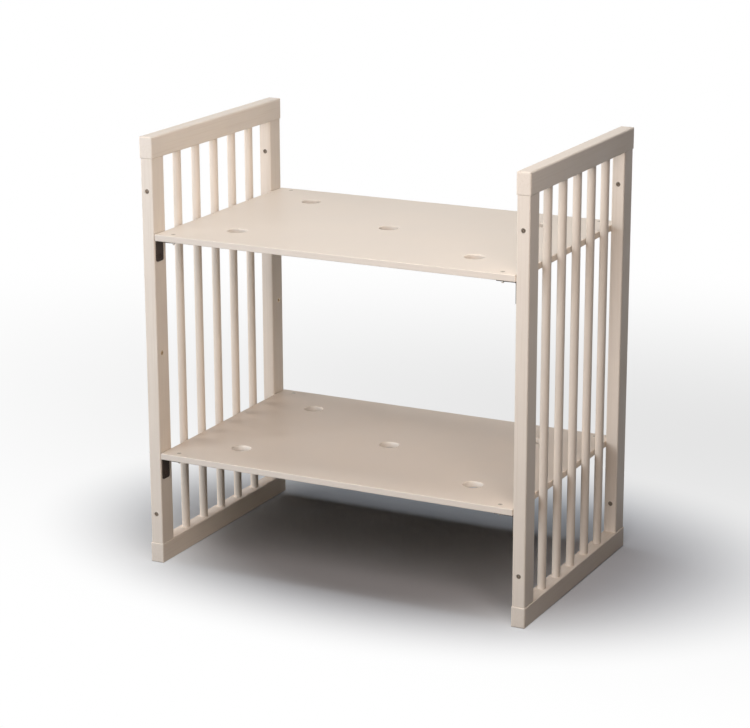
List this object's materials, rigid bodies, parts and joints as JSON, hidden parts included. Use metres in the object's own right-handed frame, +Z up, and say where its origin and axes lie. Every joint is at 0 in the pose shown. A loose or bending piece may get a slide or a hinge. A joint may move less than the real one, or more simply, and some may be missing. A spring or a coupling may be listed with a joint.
{
  "type": "convertible crib",
  "caption": "Wooden convertible crib in its open shelf form: two slatted end frames joined by two perforated boards that hang on steel angle brackets.",
  "frame": {"origin": "on the floor, midway between the two end frames and midway between front and back", "axes": "+X along the boards to the right end frame, +Y from front to back, +Z up"},
  "size_m": [0.858, 0.533, 0.9085],
  "materials": {
    "painted_wood": "pale warm beige paint on solid beech, satin",
    "painted_board": "pale warm beige paint on a wood board, satin",
    "bare_beech": "bare fluted beech",
    "zinc_steel": "bright zinc plating",
    "black_steel": "dark powder coating, matt"
  },
  "bodies": {
    "root": {"left_top_rail": "painted_wood", "left_bottom_rail": "painted_wood", "left_front_post": "painted_wood", "left_rear_post": "painted_wood", "left_slat_1": "painted_wood", "left_slat_2": "painted_wood", "left_slat_3": "painted_wood", "left_slat_4": "painted_wood", "left_slat_5": "painted_wood", "left_dowel_pins": "bare_beech", "left_panel_sleeves": "zinc_steel", "left_post_inserts": "zinc_steel", "right_top_rail": "painted_wood", "right_bottom_rail": "painted_wood", "right_front_post": "painted_wood", "right_rear_post": "painted_wood", "right_slat_1": "painted_wood", "right_slat_2": "painted_wood", "right_slat_3": "painted_wood", "right_slat_4": "painted_wood", "right_slat_5": "painted_wood", "right_dowel_pins": "bare_beech", "right_panel_sleeves": "zinc_steel", "right_post_inserts": "zinc_steel", "upper_board": "painted_board", "upper_left_front_bracket": "black_steel", "upper_left_rear_bracket": "black_steel", "upper_right_front_bracket": "black_steel", "upper_right_rear_bracket": "black_steel", "upper_board_bolts": "zinc_steel", "upper_board_nuts": "zinc_steel", "upper_post_screws": "black_steel", "lower_board": "painted_board", "lower_left_front_bracket": "black_steel", "lower_left_rear_bracket": "black_steel", "lower_right_front_bracket": "black_steel", "lower_right_rear_bracket": "black_steel", "lower_board_bolts": "zinc_steel", "lower_board_nuts": "zinc_steel", "lower_post_screws": "black_steel"}
  },
  "joints": []
}
